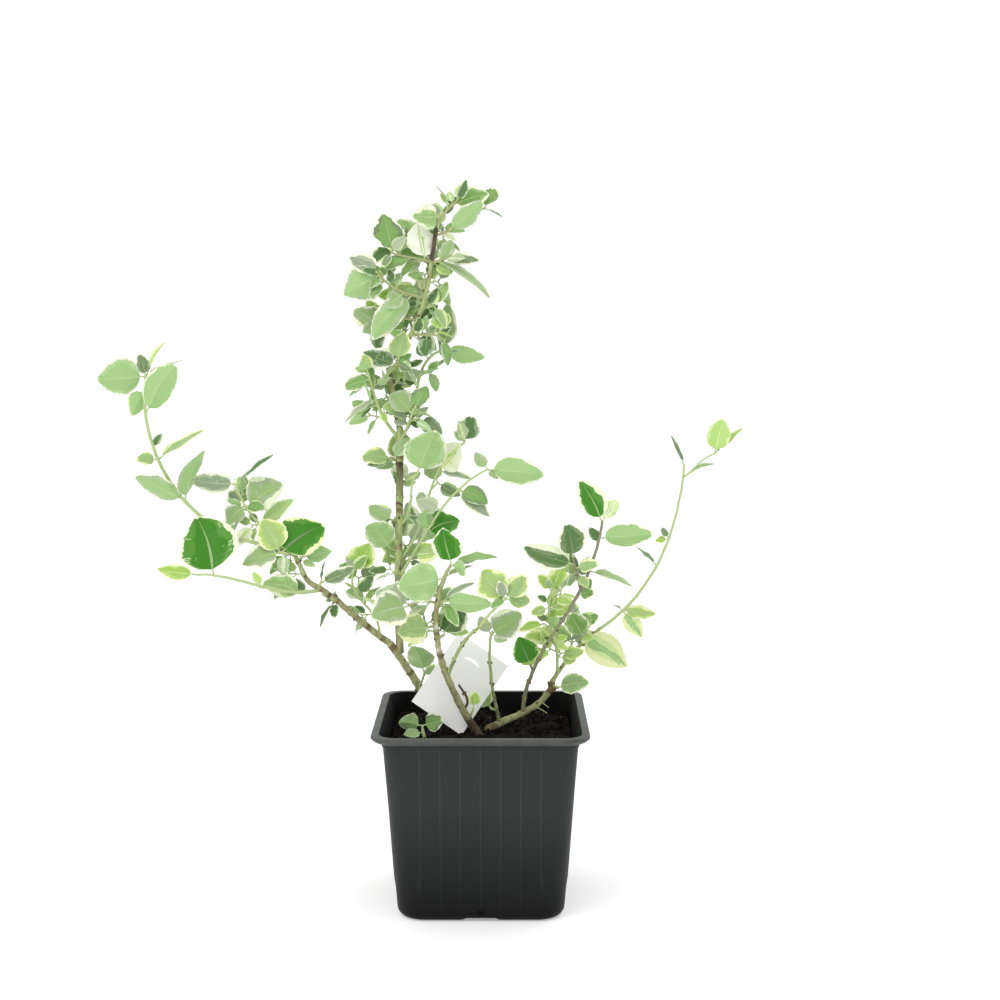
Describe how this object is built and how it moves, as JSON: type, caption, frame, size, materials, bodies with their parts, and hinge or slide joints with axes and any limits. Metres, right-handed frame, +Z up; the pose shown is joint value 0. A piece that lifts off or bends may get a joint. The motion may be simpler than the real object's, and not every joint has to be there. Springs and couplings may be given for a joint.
{
  "type": "potted wintercreeper shrub",
  "caption": "Young wintercreeper with white-edged leaves on thin spreading stems, in a square black nursery pot with peat and a blank white label.",
  "frame": {"origin": "middle of the pot's flat underside", "axes": "+Z up the plant, -Y towards the viewer of the picture, +X to the picture's right"},
  "size_m": [0.2802, 0.0946, 0.3078],
  "materials": {
    "black_plastic": "moulded recycled plastic, satin black",
    "peat": "damp dark potting peat",
    "white_plastic": "thin white plastic sheet, blank",
    "bark": "thin olive-brown bark",
    "leaf": "waxy green leaves with white margins"
  },
  "bodies": {
    "root": {"arching_back_shoot": "leaf", "arching_low_shoot": "leaf", "arching_tip_shoot": "leaf", "back_stem": "bark", "back_stem_low_tuft": "leaf", "back_stem_top": "leaf", "basal_bud": "leaf", "crown_back_high_shoot": "leaf", "crown_back_low_shoot": "leaf", "crown_base_tuft": "leaf", "crown_high_left_shoot": "leaf", "crown_leader": "bark", "crown_low_left_shoot": "leaf", "crown_mid_left_shoot": "leaf", "crown_mid_right_shoot": "leaf", "crown_right_shoot": "leaf", "crown_side_shoot": "leaf", "crown_tip": "leaf", "dark_stem_low_shoot": "leaf", "dark_stem_top": "leaf", "dead_twig": "bark", "fan_inner_shoot": "leaf", "fan_middle_shoot": "leaf", "fan_outer_shoot": "leaf", "fork_tuft": "leaf", "front_left_shoot": "leaf", "front_low_left_tuft": "leaf", "front_mid_right_tuft": "leaf", "front_right_tuft": "leaf", "front_side_bough": "bark", "front_stem": "bark", "front_top_shoot": "leaf", "knob_shoot": "leaf", "left_bough": "bark", "left_inner_shoot": "leaf", "left_leader_shoot": "leaf", "left_long_shoot": "leaf", "left_low_shoot": "leaf", "left_mid_bough": "bark", "left_mid_tuft": "leaf", "left_node_tuft": "leaf", "left_side_shoot": "leaf", "left_soil_tuft": "leaf", "low_stem": "bark", "low_stem_end": "leaf", "middle_leader": "bark", "plant_label": "white_plastic", "pot": "black_plastic", "right_arching_branch": "bark", "right_dark_stem": "bark", "right_leader_shoot": "leaf", "right_low_stem": "bark", "side_crown_shoot": "leaf", "soil": "peat", "tall_trunk": "bark", "trunk_back_shoot": "leaf", "trunk_high_tuft": "leaf", "trunk_left_tuft": "leaf", "trunk_low_tuft": "leaf", "young_shoot": "leaf"}
  },
  "joints": []
}
